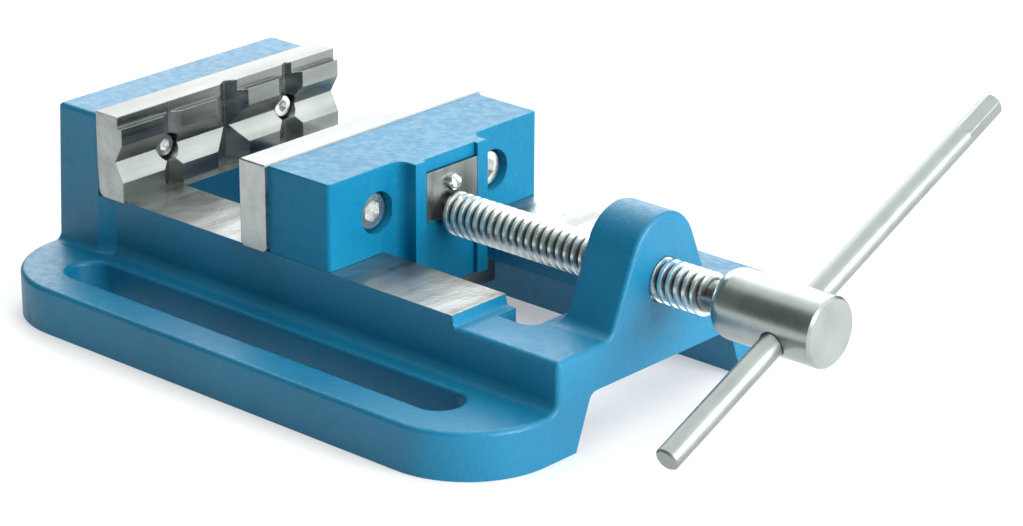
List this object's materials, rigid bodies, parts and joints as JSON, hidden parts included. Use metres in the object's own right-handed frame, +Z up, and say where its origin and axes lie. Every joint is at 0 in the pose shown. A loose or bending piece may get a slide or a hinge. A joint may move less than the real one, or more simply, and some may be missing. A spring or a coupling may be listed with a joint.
{
  "type": "bench vise",
  "caption": "Low drill-table bench vise: slotted base with guide rails and yoke, prismatic fixed jaw, sliding jaw, threaded spindle and sliding tommy bar.",
  "frame": {"origin": "centre of the base's flat underside", "axes": "+X along the spindle from the fixed jaw to the handle, +Y across the jaws, +Z up"},
  "size_m": [0.3605, 0.2367, 0.1158],
  "materials": {
    "blue_casting": "blue powder coat with a fine orange-peel texture",
    "ground_steel": "ground bright steel",
    "dark_steel": "oiled machined steel",
    "zinc_steel": "bright zinc-plated turned steel",
    "screw_steel": "zinc-plated screw steel"
  },
  "bodies": {
    "base": {"body": "blue_casting", "fixed_jaw_plate": "ground_steel", "fixed_jaw_screw_near": "screw_steel", "fixed_jaw_screw_far": "screw_steel"},
    "carriage": {"moving_jaw": "blue_casting", "moving_jaw_plate": "ground_steel", "plate_screw_near": "screw_steel", "plate_screw_far": "screw_steel", "plate_screw_washer_near": "screw_steel", "plate_screw_washer_far": "screw_steel", "guide_plate": "dark_steel", "guide_screw_near": "screw_steel", "guide_screw_far": "screw_steel", "guide_screw_washer_near": "screw_steel", "guide_screw_washer_far": "screw_steel", "thrust_disc": "dark_steel", "retaining_plate": "ground_steel", "retaining_screw": "screw_steel"},
    "spindle": {"spindle": "zinc_steel"},
    "tommy_bar": {"tommy_bar": "zinc_steel"}
  },
  "joints": [
    {"name": "jaw_slide", "type": "slide", "parent": "base", "child": "carriage", "axis": [1, 0, 0], "range_m": [-0.029, 0.076]},
    {"name": "spindle_turn", "type": "hinge", "parent": "carriage", "child": "spindle", "pos_m": [0.2, 0, 0.0565], "axis": [1, 0, 0], "range_deg": [-2600, 6830]},
    {"name": "bar_slide", "type": "slide", "parent": "spindle", "child": "tommy_bar", "axis": [0, 0.9164, 0.4003], "range_m": [-0.095, 0.06]}
  ],
  "couplings": [
    {"joint": "jaw_slide", "follows": "spindle_turn", "m_per_rad": 0.00063662}
  ]
}
